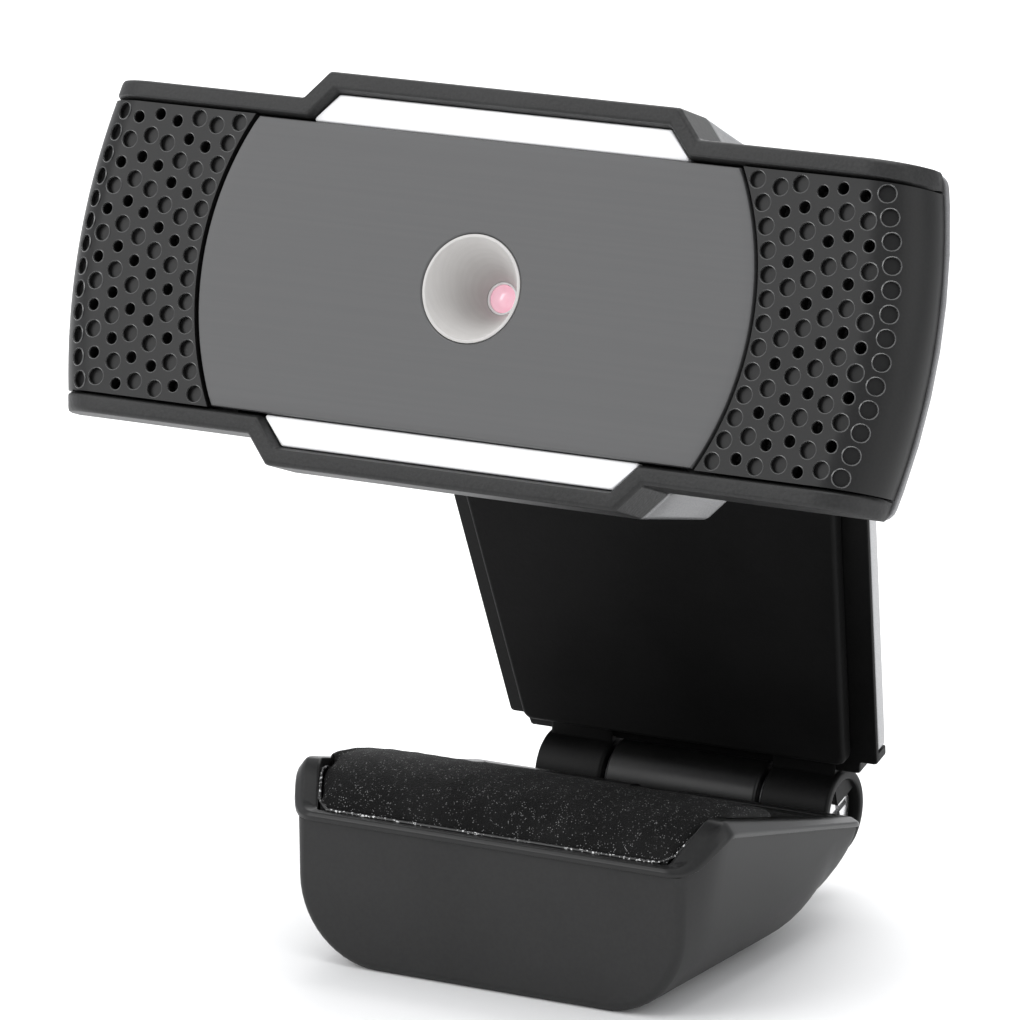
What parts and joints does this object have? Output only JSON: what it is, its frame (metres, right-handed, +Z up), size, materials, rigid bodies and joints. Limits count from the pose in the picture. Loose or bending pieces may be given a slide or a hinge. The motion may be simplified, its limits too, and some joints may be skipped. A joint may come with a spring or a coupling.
{
  "type": "clip-on webcam",
  "caption": "Wide webcam with perforated wings around a round front plate, on a folding monitor clip with a foam-padded foot that also stands on a desk or a tripod.",
  "frame": {"origin": "mouth of the tripod thread in the middle of the foot's underside", "axes": "+Z up, -Y the way the camera looks when stored, +X to the right of someone who faces the camera"},
  "size_m": [0.0962, 0.0602, 0.0925],
  "materials": {
    "foot_plastic": "satin moulded black",
    "lid_plastic": "polished moulded black",
    "foam": "closed-cell foam, finely speckled",
    "brass_insert": "turned",
    "hinge_plastic": "satin moulded black",
    "screw_steel": "zinc plated",
    "arm_plastic": "satin moulded black",
    "arm_rubber": "matt rubber sheet",
    "silver_plastic": "silver painted",
    "bolt_chrome": "polished",
    "nut_steel": "plain",
    "housing_silver": "silver painted, fine metallic",
    "gland_rubber": "moulded",
    "frame_plastic": "spark-textured charcoal",
    "wing_plastic": "fine satin charcoal",
    "plate_metal": "fine vertical brushing, anodised grey",
    "trim_white": "bright silver white",
    "funnel_plastic": "pale warm grey",
    "lens_black": "anodised black",
    "lens_coated": "pink anti-reflection coating",
    "retainer_white": "white",
    "filter_glass": "coated",
    "sensor_dark": "moulded package",
    "board_green": "solder mask",
    "mic_metal": "gold-plated can",
    "mesh_fabric": "woven black gauze"
  },
  "bodies": {
    "foot": {"foot_shell": "foot_plastic", "foot_lid": "lid_plastic", "foot_pad": "foam", "tripod_nut": "brass_insert", "hinge_block": "hinge_plastic", "foot_screws": "screw_steel", "block_screws": "screw_steel"},
    "arm": {"arm_tray": "arm_plastic", "arm_pad": "arm_rubber", "arm_cover": "silver_plastic", "arm_screws": "screw_steel", "hinge_bolt": "bolt_chrome", "hinge_nut": "nut_steel", "hinge_washers": "nut_steel", "tilt_bolt": "bolt_chrome", "tilt_nut": "nut_steel", "tilt_washers": "nut_steel"},
    "neck": {"neck": "hinge_plastic"},
    "head": {"rear_housing": "housing_silver", "swivel_pin": "bolt_chrome", "swivel_washers": "nut_steel", "swivel_clip": "nut_steel", "cable_gland": "gland_rubber", "front_frame": "frame_plastic", "wing_left": "wing_plastic", "wing_right": "wing_plastic", "face_plate": "plate_metal", "trim_top": "trim_white", "trim_bottom": "trim_white", "lens_funnel": "funnel_plastic", "lens_barrel": "lens_black", "lens_glass": "lens_coated", "lens_retainer": "retainer_white", "lens_holder": "lens_black", "infrared_filter": "filter_glass", "image_sensor": "sensor_dark", "circuit_board": "board_green", "image_processor": "sensor_dark", "cable_header": "retainer_white", "microphones": "mic_metal", "microphone_gaskets": "gland_rubber", "sound_mesh": "mesh_fabric", "housing_screws": "screw_steel", "board_screws": "screw_steel"}
  },
  "joints": [
    {"name": "arm_fold", "type": "hinge", "parent": "foot", "child": "arm", "pos_m": [0, 0.03075, 0.00985], "axis": [1, 0, 0], "range_deg": [-100, 20]},
    {"name": "head_tilt", "type": "hinge", "parent": "arm", "child": "neck", "pos_m": [0, 0.01895, 0.0554], "axis": [1, 0, 0], "range_deg": [-60, 30]},
    {"name": "head_swivel", "type": "hinge", "parent": "neck", "child": "head", "pos_m": [0, 0.00641, 0.05971], "axis": [0, 0.3322, 0.9432], "range_deg": [-25, 25]}
  ]
}
